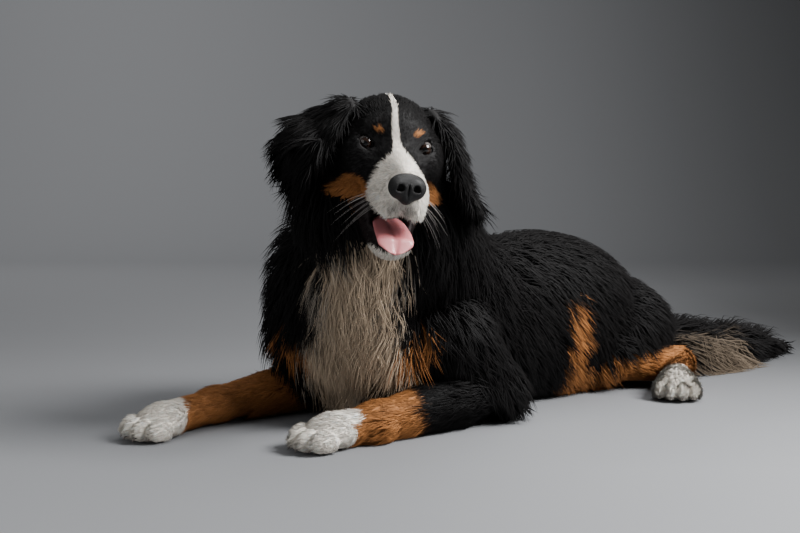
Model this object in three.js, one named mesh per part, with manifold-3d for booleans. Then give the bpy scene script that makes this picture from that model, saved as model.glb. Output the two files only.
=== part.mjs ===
// A Bernese mountain dog lying down with its head up, life size, as a still model.
// Millimetres, +Z up. The dog faces -Y and its left side is +X. It lies on the plane z = 0.
import * as THREE from "three";
import { mergeVertices } from "three/addons/utils/BufferGeometryUtils.js";
import Module from "manifold-3d";

const wasm = await Module();
wasm.setup();

const GAP = 0.5; // space left between neighbouring solids
const DEG = Math.PI / 180;

// Small vector helpers on [x, y, z] arrays
const add = (a, b) => [a[0] + b[0], a[1] + b[1], a[2] + b[2]];
const sub = (a, b) => [a[0] - b[0], a[1] - b[1], a[2] - b[2]];
const mul = (a, s) => [a[0] * s, a[1] * s, a[2] * s];
const dot = (a, b) => a[0] * b[0] + a[1] * b[1] + a[2] * b[2];
const cross = (a, b) => [a[1] * b[2] - a[2] * b[1], a[2] * b[0] - a[0] * b[2], a[0] * b[1] - a[1] * b[0]];
const unit = (a) => mul(a, 1 / Math.max(Math.hypot(...a), 1e-9));
const mix = (a, b, t) => a + (b - a) * t;
const mixv = (a, b, t) => a.map((v, i) => mix(v, b[i], t));
const clamp = (v, lo, hi) => Math.min(Math.max(v, lo), hi);

// The head's own frame: origin midway between the eyes, nose towards -Y, left ear towards +X
const HEAD_AT = [172, -545, 452];
const HEAD_YAW = 57.5 * DEG;
const HEAD_PITCH = 5.5 * DEG;
const HEAD_ROLL = 5.6 * DEG;
const headMatrix = new THREE.Matrix4()
  .makeTranslation(...HEAD_AT)
  .multiply(new THREE.Matrix4().makeRotationZ(HEAD_YAW))
  .multiply(new THREE.Matrix4().makeRotationX(HEAD_PITCH))
  .multiply(new THREE.Matrix4().makeRotationY(HEAD_ROLL));

// Flesh as distance fields. ball is an ellipsoid, cone a limb between two spheres; k is how softly
// each melts into what comes before it.
const ball = (c, r, k = 30) => ({ c, r: typeof r === "number" ? [r, r, r] : r, k });
const cone = (a, b, ra, rb, k = 30) => ({ a, b, ra, rb, k });

function distance(shape, p) {
  if (shape.c) {
    const q = sub(p, shape.c);
    const s = [q[0] / shape.r[0], q[1] / shape.r[1], q[2] / shape.r[2]];
    const k0 = Math.hypot(...s);
    const k1 = Math.hypot(s[0] / shape.r[0], s[1] / shape.r[1], s[2] / shape.r[2]);
    return k1 < 1e-9 ? -Math.min(...shape.r) : (k0 * (k0 - 1)) / k1;
  }
  const ab = sub(shape.b, shape.a);
  const t = clamp(dot(sub(p, shape.a), ab) / dot(ab, ab), 0, 1);
  return Math.hypot(...sub(p, add(shape.a, mul(ab, t)))) - mix(shape.ra, shape.rb, t);
}

function softMin(a, b, k) {
  const h = Math.max(k - Math.abs(a - b), 0) / k;
  return Math.min(a, b) - (h * h * k) / 4;
}
const softMax = (a, b, k) => -softMin(-a, -b, k);

const field = (shapes) => (p) => shapes.reduce((d, s) => softMin(d, distance(s, p), s.k), 1e3);

// Where the joints of each leg lie
const FORE = {
  left: { shoulder: [95, -360, 150], elbow: [134, -292, 56], wrist: [120, -530, 31], paw: [110, -612, 27] },
  right: { shoulder: [-118, -450, 145], elbow: [-150, -395, 56], wrist: [-158, -640, 31], paw: [-136, -752, 27] },
};
const HIND = {
  left: { hip: [72, 182, 112], knee: [100, 80, 72], hock: [178, 225, 42], paw: [243, 120, 27] },
  right: { hip: [-82, 182, 112], knee: [-140, 55, 72], hock: [-158, 250, 42], paw: [-224, 104, 27] },
};
const TAIL = [
  [22, 322, 56],
  [46, 440, 42],
  [78, 570, 34],
  [106, 680, 28],
  [120, 752, 22],
];
const TAIL_FLESH = [30, 22, 12, -2, -16]; // half thickness at each point, below zero where only hair is left

// The flesh of each part
const torsoShapes = [
  ball([0, -270, 150], [118, 175, 145], 40),
  ball([0, -60, 146], [126, 230, 146], 60),
  ball([0, 60, 136], [122, 190, 130], 60),
  ball([0, 200, 92], [106, 135, 95], 50),
];
const neckShapes = [
  cone([0, -300, 215], [95, -480, 370], 100, 78, 50),
  ball([-84, -430, 205], [92, 96, 150], 60),
  ball([65, -536, 388], [62, 62, 76], 40),
];
const bibShapes = [
  cone([88, -506, 330], [18, -470, 190], 58, 76, 40),
  ball([6, -420, 110], [86, 66, 105], 50),
];
const armShapes = (l) => [cone(l.shoulder, l.elbow, 64, 46, 30)];
const forearmShapes = (l) => [cone(l.elbow, l.wrist, 43, 25, 25), cone(l.wrist, l.paw, 25, 24, 20)];
const thighShapes = (l) => [ball(mixv(l.hip, l.knee, 0.25), [66, 98, 84], 40), cone(l.hip, l.knee, 74, 50, 40)];
const shinShapes = (l) => [cone(l.knee, l.hock, 48, 27, 30)];
const footShapes = (l) => [cone(l.hock, l.paw, 29, 27, 16)];
const tailShapes = TAIL.slice(1).map((b, i) => cone(TAIL[i], b, TAIL_FLESH[i], TAIL_FLESH[i + 1], 20));

// The head's flesh in its own frame, the same on both sides
const skullShapes = [
  ball([0, 58, 8], [66, 78, 60], 20),
  ball([46, 22, -20], [31, 50, 40], 24),
  ball([0, -4, 18], [30, 26, 34], 26),
  ball([27, 0, 22], [20, 17, 14], 14),
  cone([0, -16, -36], [0, -78, -58], 37, 29, 24),
  cone([0, -34, -18], [0, -90, -36], 18, 14, 12),
  ball([16, -72, -77], [22, 30, 32], 14),
  ball([27, -35, -65], [23, 41, 27], 18),
  ball([0, 62, -45], [56, 58, 60], 30),
  ball([58, 68, -44], [34, 42, 58], 30),
];
const jawShapes = [cone([0, 16, -104], [2, -54, -134], 47, 24, 20), ball([0, -50, -137], [28, 30, 18], 14)];
const twoSided = (shapes) => {
  const f = field(shapes);
  return (p) => f([Math.abs(p[0]), p[1], p[2]]);
};

// Depth of the coat over the flesh, part by part. Where the coat is long, the solid body of a part reaches
// only CORE of that depth, and locks reach the rest.
const COAT = {
  torso: 28, neck: 40, bib: 32, arm: 24, forearm: 8, thigh: 24, shin: 11, foot: 8, tail: 42, head: 5, jaw: 4,
};
const CORE = 0.5;

// A closed mesh drawn round a spine. From each spine point rays go out to where the field reaches the level.
// Rays that fan out from the two end points make the caps.
function wrap(fieldAt, spine, { sides = 20, rings = 12, caps = 4, level = 0, up = [0, 0, 1] }) {
  const curve = new THREE.CatmullRomCurve3(spine.map((p) => new THREE.Vector3(...p)));
  const ray = (o, d) => {
    let far = 1;
    while (far < 280 && fieldAt(add(o, mul(d, far))) < level) far += 4;
    let near = Math.max(far - 4, 0.2);
    for (let i = 0; i < 12; i++) {
      const m = (near + far) / 2;
      if (fieldAt(add(o, mul(d, m))) < level) near = m;
      else far = m;
    }
    return add(o, mul(d, near));
  };
  const row = (t, lean) => {
    const o = curve.getPointAt(t).toArray();
    const along = curve.getTangentAt(t).toArray();
    const side = unit(cross(up, along));
    const top = cross(along, side);
    return Array.from({ length: sides }, (_, j) => {
      const a = (2 * Math.PI * j) / sides;
      const out = add(mul(side, Math.cos(a)), mul(top, Math.sin(a)));
      return ray(o, unit(add(mul(out, Math.cos(lean)), mul(along, Math.sin(lean)))));
    });
  };
  const rows = [];
  for (let i = 1; i <= caps; i++) rows.push(row(0, (-Math.PI / 2) * (1 - i / (caps + 1))));
  for (let i = 0; i <= rings; i++) rows.push(row(i / rings, 0));
  for (let i = 1; i <= caps; i++) rows.push(row(1, ((Math.PI / 2) * i) / (caps + 1)));
  const tip = (t, s) => ray(curve.getPointAt(t).toArray(), mul(curve.getTangentAt(t).toArray(), s));
  return skinRows(rows, tip(0, -1), tip(1, 1));
}

// A closed geometry from rows of points and its two end points
function skinRows(rows, first, last) {
  const sides = rows[0].length;
  const points = [first, ...rows.flat(), last];
  const faces = [];
  const end = 1 + (rows.length - 1) * sides;
  for (let j = 0; j < sides; j++) {
    const n = (j + 1) % sides;
    faces.push([0, 1 + n, 1 + j], [end + j, end + n, points.length - 1]);
    for (let i = 0; i + 1 < rows.length; i++) {
      const a = 1 + i * sides;
      const b = a + sides;
      faces.push([a + j, a + n, b + j], [a + n, b + n, b + j]);
    }
  }
  return new THREE.BufferGeometry()
    .setAttribute("position", new THREE.Float32BufferAttribute(points.flat(), 3))
    .setIndex(faces.flat());
}

// Three.js geometry to a solid and back. grow moves every face out by at least that much: each point goes
// out along its normal, further where the faces round it lean away from that normal.
function solid(geometry, grow = 0) {
  const g = geometry.clone();
  for (const name of ["normal", "uv"]) g.deleteAttribute(name);
  const merged = mergeVertices(g, 1e-4);
  const p = merged.attributes.position;
  const faces = new Uint32Array(merged.index.array);
  const make = (points) => new wasm.Manifold(new wasm.Mesh({ numProp: 3, vertProperties: points, triVerts: faces }));
  if (make(new Float32Array(p.array)).volume() < 0) {
    for (let i = 0; i < faces.length; i += 3) [faces[i], faces[i + 1]] = [faces[i + 1], faces[i]];
  }
  if (!grow) return make(new Float32Array(p.array));
  merged.setIndex(new THREE.BufferAttribute(faces, 1));
  merged.computeVertexNormals();
  const at = (array, i) => [array[3 * i], array[3 * i + 1], array[3 * i + 2]];
  const lean = new Float32Array(p.count).fill(1);
  for (let i = 0; i < faces.length; i += 3) {
    const [a, b, c] = [0, 1, 2].map((k) => at(p.array, faces[i + k]));
    const face = unit(cross(sub(b, a), sub(c, a)));
    for (let k = 0; k < 3; k++) {
      const v = faces[i + k];
      lean[v] = Math.min(lean[v], dot(face, at(merged.attributes.normal.array, v)));
    }
  }
  const moved = new Float32Array(p.count * 3);
  for (let v = 0; v < p.count; v++) {
    const shift = mul(at(merged.attributes.normal.array, v), grow / Math.max(lean[v], 0.25));
    moved.set(add(at(p.array, v), shift), 3 * v);
  }
  return make(moved);
}
const joined = (solids) => solids.reduce((a, b) => a.add(b));

// The largest closed surface of a solid, so a sealed hollow is filled and a loose scrap dropped. It is made
// anew from its mesh, which frees what it was made from.
function largest(s) {
  const whole = s.decompose().reduce((a, b) => (b.volume() > a.volume() ? b : a));
  const { vertProperties, triVerts } = whole.getMesh();
  return new wasm.Manifold(new wasm.Mesh({ numProp: 3, vertProperties, triVerts }));
}

function geometryOf(s) {
  const m = s.getMesh();
  const points = new Float32Array(m.numVert * 3);
  for (let i = 0; i < m.numVert; i++) points.set(m.vertProperties.subarray(i * m.numProp, i * m.numProp + 3), i * 3);
  return new THREE.BufferGeometry()
    .setAttribute("position", new THREE.BufferAttribute(points, 3))
    .setIndex(new THREE.BufferAttribute(new Uint32Array(m.triVerts), 1));
}

function ellipsoid(centre, radii, grow = 0, around = 12, high = 8, matrix = null) {
  const g = new THREE.SphereGeometry(1, around, high);
  g.rotateX(Math.PI / 2);
  g.scale(...radii);
  g.translate(...centre);
  if (matrix) g.applyMatrix4(matrix);
  return solid(g, grow);
}
const inHead = (geometry) => geometry.applyMatrix4(headMatrix);

// A flap or tongue: a closed loft whose sections are loops round points on a spine. Each section has a
// half width vector w, a half thickness vector n, and hollow pulls the middle of its inner side outward.
function flap(sections, hollow = 0) {
  const rows = sections.map(({ at, w, n }) => {
    return Array.from({ length: 12 }, (_, j) => {
      const a = (2 * Math.PI * j) / 12;
      const dip = hollow * (1 - Math.cos(a) ** 2);
      return add(at, add(mul(w, Math.cos(a)), add(mul(n, Math.sin(a)), mul(unit(n), dip))));
    });
  });
  const first = sections[0];
  const last = sections[sections.length - 1];
  const push = (s, t) => mul(unit(sub(s.at, t.at)), 3);
  return skinRows(
    rows,
    add(first.at, push(first, sections[1])),
    add(last.at, push(last, sections[sections.length - 2])),
  );
}

// The ears, as sections from base to tip in the head's frame
const EARS = {
  left: [
    { at: [62, 62, 46], w: [4, 34, -4], n: [8, 0, 12] },
    { at: [86, 66, 30], w: [6, 46, -2], n: [9, -2, 9] },
    { at: [106, 66, 4], w: [10, 50, 0], n: [9, -2, 3] },
    { at: [116, 62, -26], w: [12, 47, 0], n: [8, -3, 0] },
    { at: [130, 56, -58], w: [12, 34, 4], n: [6, -2, 1] },
    { at: [148, 52, -82], w: [6, 14, 3], n: [4, -1, 1] },
  ],
  right: [
    { at: [-62, 62, 50], w: [-10, 32, -2], n: [-6, -2, 12] },
    { at: [-90, 62, 40], w: [-22, 42, 0], n: [-8, -4, 9] },
    { at: [-122, 56, 12], w: [-30, 40, 2], n: [-8, -6, 3] },
    { at: [-134, 48, -18], w: [-30, 36, 0], n: [-7, -6, 0] },
    { at: [-130, 40, -46], w: [-22, 26, 0], n: [-6, -5, -1] },
    { at: [-122, 36, -70], w: [-9, 12, 0], n: [-3, -3, 0] },
  ],
};
const TONGUE = [
  { at: [0, 4, -102], w: [22, 0, 0], n: [0, -2, 6] },
  { at: [0, -30, -112], w: [25, 0, 0], n: [0, -2.4, 6] },
  { at: [2, -64, -124], w: [27, 0, 0], n: [0, -3, 6] },
  { at: [4, -86, -134], w: [27, 0, 0], n: [0, -3.5, 5] },
  { at: [5, -97, -147], w: [20, 0, 0], n: [0, -4, 3] },
];

const EYE = { at: [43.5, -8, 0], r: 12.5 };
const mirrored = (p, s) => [p[0] * s, p[1], p[2]];

function limb(shapes, coat, points, extra = {}) {
  return (grow) => solid(wrap(field(shapes), points, { sides: 10, rings: 4, caps: 2, level: coat, ...extra }), grow);
}

// A foot with four toes and their claws, made pointing to -Y and then turned into line with its leg
function foot(l, from) {
  const yaw = Math.atan2(l.paw[0] - from[0], from[1] - l.paw[1]);
  const place = new THREE.Matrix4()
    .makeTranslation(l.paw[0], l.paw[1], 0)
    .multiply(new THREE.Matrix4().makeRotationZ(yaw));
  return (grow) => {
    const pieces = [ellipsoid([0, -2, 25], [38, 46, 29], grow, 10, 5, place)];
    for (const t of [-1.5, -0.5, 0.5, 1.5]) {
      const ahead = Math.abs(t) < 1 ? -46 : -34;
      pieces.push(ellipsoid([t * 20, ahead, 20], [13, 26, 22], grow, 6, 4, place));
      pieces.push(ellipsoid([t * 20, ahead - 23, 12], [2.8, 9, 3.6], grow, 4, 2, place));
    }
    return joined(pieces);
  };
}

// A repeatable stream of numbers between 0 and 1
function numbers(seed) {
  let a = seed >>> 0;
  return () => {
    a = (a + 0x6d2b79f5) >>> 0;
    let t = Math.imul(a ^ (a >>> 15), a | 1);
    t ^= t + Math.imul(t ^ (t >>> 7), t | 61);
    return ((t ^ (t >>> 14)) >>> 0) / 4294967296;
  };
}

// The outward direction of a field at a point
function outward(f, p) {
  const e = 1.5;
  return unit([0, 1, 2].map((i) => {
    const d = [0, 0, 0];
    d[i] = e;
    return f(add(p, d)) - f(sub(p, d));
  }));
}

// A lock of hair: a flat tapered blade with a ridge along it. It starts inside the core, follows the lie of
// the coat over the flesh field, rises to the coat's full depth at its tip, and waves from side to side.
function lock(f, root, lie, traits, grow) {
  const { length, width, core, coat, wave = 0.3, phase = 0 } = traits;
  const stations = 3;
  const step = length / stations;
  let at = root;
  let first = null;
  const aims = [];
  const rows = [];
  for (let i = 0; i < stations; i++) {
    const t = i / stations;
    const n = outward(f, at);
    const pull = lie(at);
    const along = unit(sub(pull, mul(n, dot(pull, n))));
    const side = cross(along, n);
    first ??= sub(root, mul(along, 5));
    aims.push(along);
    const half = (width / 2) * (i === 0 ? 0.7 : 1 - 0.75 * t ** 2);
    const thick = mix(7, 3.2, t);
    rows.push([add(at, mul(side, -half)), add(at, mul(n, thick)), add(at, mul(side, half))]);
    const level = mix(core - 5, coat, (i + 1) / stations);
    at = add(at, mul(unit(add(along, mul(side, wave * Math.cos(phase + 3 * t)))), step));
    at = add(at, mul(outward(f, at), level - f(at)));
    at[2] = Math.max(at[2], 3);
  }
  // A lock that would fold over itself is made shorter
  const folded = rows.some((row, i) => {
    const next = rows[i + 1] ?? row.map(() => at);
    return row.some((p, j) => dot(sub(next[j], p), aims[i]) < 0.25 * step);
  });
  if (folded) return length < 30 ? null : lock(f, root, lie, { ...traits, length: 0.75 * length }, grow);
  return solid(skinRows(rows, first, at), grow);
}

// A coat of locks on a wrapped core. rows says how many stand side by side at each place along the spine;
// from and to bound the turn round it, in fractions. traits gives a lock its length and width by its root.
function coatOf(f, spine, { up = [0, 0, 1], rows, lie, core, coat, seed, traits = () => ({}) }) {
  const curve = new THREE.CatmullRomCurve3(spine.map((p) => new THREE.Vector3(...p)));
  return (grow) => {
    const next = numbers(seed);
    const locks = [];
    for (const [t, count, from, to] of rows) {
      const o = curve.getPointAt(t).toArray();
      const along = curve.getTangentAt(t).toArray();
      const side = unit(cross(up, along));
      const top = cross(along, side);
      for (let i = 0; i < count; i++) {
        const share = mix(from, to, (i + 0.25 + 0.5 * next()) / count);
        const a = 2 * Math.PI * share;
        const out = unit(add(add(mul(side, Math.cos(a)), mul(top, Math.sin(a))), mul(along, 0.3 * (next() - 0.5))));
        let reach = 2;
        while (reach < 260 && f(add(o, mul(out, reach))) < core - 5) reach += 2;
        const root = add(o, mul(out, reach));
        const more = traits(root, share, t);
        const length = (more.length ?? 90) * mix(0.85, 1.15, next());
        const width = (more.width ?? 34) * mix(0.85, 1.15, next());
        const phase = 6.28 * next();
        if (root[2] > 4) locks.push(lock(f, root, lie, { core, coat, phase, ...more, length, width }, grow));
      }
    }
    return locks.filter(Boolean);
  };
}
const withLocks = (core, locks) => (grow) => joined([core(grow), ...locks(grow)]);

// The long hair of an ear: locks from the outer face of the flap that hang past its rear edge and tip
function fringe(side, grow) {
  const next = numbers(side === "left" ? 81 : 83);
  const s = side === "left" ? 1 : -1;
  const locks = [];
  for (const { at, w, n } of EARS[side].slice(1, 5)) {
    for (const across of side === "left" ? [0.75, 0.1] : [0.8, 0.1]) {
      const root = add(add(at, mul(w, across)), mul(n, 0.2));
      const fall = unit([s * mix(0.35, 0.8, next()), mix(0.2, 0.5, next()), -1]);
      const flat = unit(cross(fall, n));
      const size = mix(50, 70, next());
      const rows = [0, 0.4, 0.75].map((t) => {
        const c = add(root, add(mul(fall, size * t), mul(flat, 5 * Math.sin(4 * t + 6 * across))));
        const half = 11 * (1 - 0.6 * t ** 2);
        const thick = mix(4, 2.2, t);
        const f = unit(n);
        return [sub(c, mul(flat, half)), add(c, mul(f, thick)), add(c, mul(flat, half))];
      });
      locks.push(solid(inHead(skinRows(rows, sub(root, mul(fall, 3)), add(root, mul(fall, size)))), grow));
    }
  }
  return locks;
}

// Every part as a maker. The order matters: a part is cut back from all the parts that stand before it.
const makers = {};
for (const [side, s] of [["left", 1], ["right", -1]]) {
  makers[`eye_${side}`] = (grow) => ellipsoid(mirrored(EYE.at, s), [EYE.r, EYE.r, EYE.r], grow, 10, 6, headMatrix);
}
makers.nose = (grow) => {
  const pieces = [ellipsoid([0, -104, -46], [24, 16, 17], grow, 10, 6, headMatrix)];
  pieces.push(ellipsoid([0, -100, -60], [10, 14, 10], grow, 7, 5, headMatrix));
  let made = joined(pieces);
  for (const s of [1, -1]) {
    made = made.subtract(ellipsoid([s * 10, -118, -47], [4.6, 7, 4.2], -grow, 7, 5, headMatrix));
    made = made.subtract(ellipsoid([s * 18, -111, -51], [6, 5, 2], -grow, 6, 4, headMatrix));
  }
  return made;
};
makers.tongue = (grow) => solid(inHead(flap(TONGUE, -1)), grow);
// The floor of the open mouth slopes down to the front
const mouthMatrix = headMatrix
  .clone()
  .multiply(new THREE.Matrix4().makeTranslation(0, -46, -74))
  .multiply(new THREE.Matrix4().makeRotationX(24 * DEG))
  .multiply(new THREE.Matrix4().makeTranslation(0, 46, 74));
makers.jaw = (grow) => {
  const whole = solid(
    inHead(
      wrap(twoSided(jawShapes), [[0, 22, -102], [0, -18, -115], [0, -52, -129]], {
        sides: 12, rings: 3, caps: 2, level: COAT.jaw,
      }),
    ),
    grow,
  );
  return whole.subtract(ellipsoid([0, -46, -84], [44, 75, 31], -grow, 14, 8, mouthMatrix));
};
for (const side of ["left", "right"]) {
  makers[`ear_${side}`] = (grow) => joined([solid(inHead(flap(EARS[side], 7)), grow), ...fringe(side, grow)]);
}
makers.head = (grow) => {
  let made = solid(
    inHead(
      wrap(twoSided(skullShapes), [[0, 88, 8], [0, 30, -13], [0, -30, -34], [0, -84, -54]], {
        sides: 18, rings: 12, caps: 3, level: COAT.head,
      }),
    ),
    grow,
  );
  for (const s of [1, -1]) {
    const [x, y, z] = mirrored(EYE.at, s);
    made = made.add(ellipsoid([x, y, z], [15.4, 14.6, 14.4], grow, 10, 7, headMatrix));
    made = made.subtract(ellipsoid([x + s, y - 14, z], [10.6, 16, 7.6], -grow, 10, 5, headMatrix));
  }
  return made.subtract(ellipsoid([0, -52, -100], [31, 66, 17], -grow, 12, 8, headMatrix));
};
for (const side of ["left", "right"]) {
  const f = FORE[side];
  const h = HIND[side];
  const s = side === "left" ? 1 : -1;
  makers[`forepaw_${side}`] = foot(f, f.wrist);
  makers[`forearm_${side}`] = withLocks(
    limb(forearmShapes(f), COAT.forearm, [f.elbow, f.wrist, mixv(f.wrist, f.paw, 0.6)]),
    coatOf(field(forearmShapes(f)), [f.elbow, f.wrist], {
      rows: [[0.12, 2, 0.55, 0.95], [0.45, 2, 0.55, 0.95]],
      lie: () => [0.25 * s, 1, -0.25], core: 4, coat: 20, seed: 61 + s,
      traits: () => ({ length: 62, width: 22 }),
    }),
  );
  makers[`upper_arm_${side}`] = withLocks(
    limb(armShapes(f), COAT.arm * CORE, [f.shoulder, mixv(f.shoulder, f.elbow, 0.9)], { rings: 2 }),
    coatOf(field(armShapes(f)), [f.shoulder, f.elbow], {
      rows: [[0.1, 3, 0.5, 1], [0.7, 2, 0.55, 0.95]],
      lie: () => [0.1 * s, 0.7, -0.8], core: COAT.arm * CORE, coat: COAT.arm, seed: 120 + s,
      traits: (p) => (p[0] * s < 60 ? { length: 40 } : { length: 105, width: 42 }),
    }),
  );
  makers[`hind_paw_${side}`] = foot(h, h.hock);
  makers[`hind_foot_${side}`] = limb(footShapes(h), COAT.foot, [h.hock, mixv(h.hock, h.paw, 0.7)], { rings: 3 });
  makers[`shin_${side}`] = limb(shinShapes(h), COAT.shin, [h.knee, h.hock], { rings: 3 });
  makers[`thigh_${side}`] = withLocks(
    limb(thighShapes(h), COAT.thigh * CORE, [mixv(h.hip, h.knee, 0.1), mixv(h.hip, h.knee, 0.9)], {
      sides: 12, rings: 3, caps: 2,
    }),
    coatOf(field(thighShapes(h)), [h.hip, h.knee], {
      rows: [[0.05, 3, 0.5, 1], [0.5, 2, 0.55, 0.95]],
      lie: () => [0.15 * s, 0.75, -0.7], core: COAT.thigh * CORE, coat: COAT.thigh, seed: 207 + 2 * s,
      traits: (p) => (p[0] * s < 60 ? { length: 40 } : { length: 110, width: 44 }),
    }),
  );
}
const BIB_SPINE = [[72, -496, 310], [38, -462, 205], [4, -428, 100]];
makers.bib = withLocks(
  limb(bibShapes, COAT.bib * CORE, BIB_SPINE, { up: [0, 1, 0] }),
  coatOf(field(bibShapes), BIB_SPINE, {
    up: [0, 1, 0],
    rows: [[0.1, 3, 0.5, 1], [0.42, 4, 0.5, 1], [0.75, 4, 0.5, 1]],
    lie: (p) => [-0.1 + 0.001 * p[0], -0.1, -1], core: COAT.bib * CORE, coat: COAT.bib, seed: 153,
    traits: () => ({ length: 120, width: 34, wave: 0.45 }),
  }),
);
const NECK_SPINE = [[-8, -350, 196], [36, -408, 272], [80, -466, 348]];
makers.neck = withLocks(
  limb(neckShapes, COAT.neck * CORE, NECK_SPINE, { sides: 12, rings: 3, caps: 2, up: [0, 1, 0] }),
  coatOf(field(neckShapes), NECK_SPINE, {
    up: [0, 1, 0],
    rows: [[0.05, 5, 0, 1], [0.5, 5, 0, 1], [0.95, 4, 0, 1]],
    lie: (p) => [0.002 * p[0], 0.35, -1], core: COAT.neck * CORE, coat: COAT.neck, seed: 45,
    traits: () => ({ length: 130, width: 54, wave: 0.35 }),
  }),
);
// The front half of the tail has a fringe that lies out over the floor on the dog's left
const fringed = (p) => p[1] < 540 && p[0] > 52;
makers.tail = withLocks(
  limb(tailShapes, COAT.tail * CORE, TAIL, { sides: 8, rings: 6 }),
  coatOf(field(tailShapes), TAIL, {
    rows: [[0.1, 3, -0.1, 0.6], [0.4, 4, -0.1, 0.6], [0.7, 5, -0.1, 0.6]],
    lie: (p) => (fringed(p) ? [1, 0.3, -0.12] : [0.35 + 0.002 * (p[0] - 60), 1, -0.1]),
    core: COAT.tail * CORE, coat: COAT.tail, seed: 58,
    traits: (p) => ({ length: fringed(p) ? 130 : 105, width: 36, wave: 0.25 }),
  }),
);
const TORSO_SPINE = [[0, -330, 150], [0, -60, 148], [0, 100, 128], [0, 240, 92]];
makers.torso = withLocks(
  limb(torsoShapes, COAT.torso * CORE, TORSO_SPINE, { sides: 12, rings: 4, caps: 1 }),
  coatOf(field(torsoShapes), TORSO_SPINE, {
    rows: [[0.22, 4, 0, 0.5], [0.5, 5, 0, 0.5], [0.82, 4, 0, 0.5]],
    lie: (p) => [0.0015 * p[0], 1, -0.45 * Math.min(1, Math.abs(p[0]) / 80)],
    core: COAT.torso * CORE, coat: COAT.torso, seed: 316,
    traits: () => ({ length: 170, width: 58, wave: 0.2 }),
  }),
);

// Colours of the coat and of the bare parts
const BLACK = { color: 0x1b1a1c, roughness: 0.75 };
const WHITE = { color: 0xe9e4da, roughness: 0.8 };
const RUST = { color: 0xa8683a, roughness: 0.8 };
const LOOKS = {
  eye: { color: 0x24140c, roughness: 0.1 },
  nose: { color: 0x17171a, roughness: 0.35 },
  tongue: { color: 0xd58a8e, roughness: 0.4 },
  jaw: WHITE,
  bib: WHITE,
  forepaw: WHITE,
  hind_paw: WHITE,
  forearm: RUST,
  shin: RUST,
  hind_foot: RUST,
};
const lookOf = (name) => LOOKS[name.replace(/_(left|right)$/, "")] ?? BLACK;

// The ground the dog lies on
const below = (() => {
  const g = new THREE.BoxGeometry(3000, 3000, 400);
  g.translate(0, 0, -200);
  return solid(g);
})();

const dog = new THREE.Group();
const done = []; // the parts so far, each as it is and with its clearance
for (const [name, make] of Object.entries(makers)) {
  let made = make(0).subtract(below);
  for (const other of done) made = made.subtract(other);
  made = largest(made);
  done.push(made, make(GAP));
  const mesh = new THREE.Mesh(
    geometryOf(made),
    new THREE.MeshStandardMaterial({ metalness: 0, ...lookOf(name) }),
  );
  mesh.name = name;
  dog.add(mesh);
}
const middle = new THREE.Box3().setFromObject(dog).getCenter(new THREE.Vector3());
dog.position.set(-middle.x, -middle.y, 0);
export default dog;
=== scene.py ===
import math

import bmesh
import bpy
import numpy as np
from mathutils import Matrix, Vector, kdtree


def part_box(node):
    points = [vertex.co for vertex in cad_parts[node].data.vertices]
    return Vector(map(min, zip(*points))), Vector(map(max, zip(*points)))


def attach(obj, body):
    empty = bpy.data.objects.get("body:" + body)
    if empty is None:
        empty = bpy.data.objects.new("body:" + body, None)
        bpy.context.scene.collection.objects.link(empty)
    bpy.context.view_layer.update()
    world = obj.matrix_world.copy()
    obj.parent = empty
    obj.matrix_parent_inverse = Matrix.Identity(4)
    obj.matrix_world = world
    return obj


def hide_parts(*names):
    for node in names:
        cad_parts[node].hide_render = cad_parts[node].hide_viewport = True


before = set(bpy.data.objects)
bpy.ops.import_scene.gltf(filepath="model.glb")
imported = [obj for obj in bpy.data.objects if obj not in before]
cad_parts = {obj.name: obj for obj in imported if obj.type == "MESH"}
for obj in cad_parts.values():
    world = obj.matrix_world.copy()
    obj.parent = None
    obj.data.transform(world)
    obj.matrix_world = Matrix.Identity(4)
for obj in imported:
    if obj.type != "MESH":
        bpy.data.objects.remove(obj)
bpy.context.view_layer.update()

# All shapes are worked out in millimetres in the dog's own frame: x to its left, y to its tail, z up,
# with the origin on the floor under its ribs. The left eye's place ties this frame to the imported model.
HEAD_AT = np.array([172.0, -545.0, 452.0])
HEAD_YAW, HEAD_PITCH, HEAD_ROLL = np.radians([57.5, 5.5, 5.6])
EYE_AT = np.array([43.5, -8.0, 0.0])
EYE_RADIUS = 12.5
SOLE = 3  # the skin stays this high above the floor, and the coat fills the rest
MM = 0.001


def rotation(axis, angle):
    c, s = math.cos(angle), math.sin(angle)
    if axis == "x":
        return np.array([[1, 0, 0], [0, c, -s], [0, s, c]])
    if axis == "y":
        return np.array([[c, 0, s], [0, 1, 0], [-s, 0, c]])
    return np.array([[c, -s, 0], [s, c, 0], [0, 0, 1]])


HEAD_TURN = rotation("z", HEAD_YAW) @ rotation("x", HEAD_PITCH) @ rotation("y", HEAD_ROLL)


def from_head(p):
    return np.asarray(p, float) @ HEAD_TURN.T + HEAD_AT


def to_head(p):
    return (p - HEAD_AT) @ HEAD_TURN


eye_low, eye_high = (np.array(c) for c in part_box("eye_left"))
SHIFT = from_head(EYE_AT) * MM - (eye_low + eye_high) / 2
SHIFT[2] = 0.0


def metres(p):
    return np.asarray(p, float) * MM - SHIFT


def unit(v):
    return v / np.maximum(np.linalg.norm(v, axis=-1, keepdims=True), 1e-9)


def blend(a, b, t):
    return a + (b - a) * t


def ramp(v, low, high):
    t = np.clip((v - low) / (high - low), 0, 1)
    return t * t * (3 - 2 * t)


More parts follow.
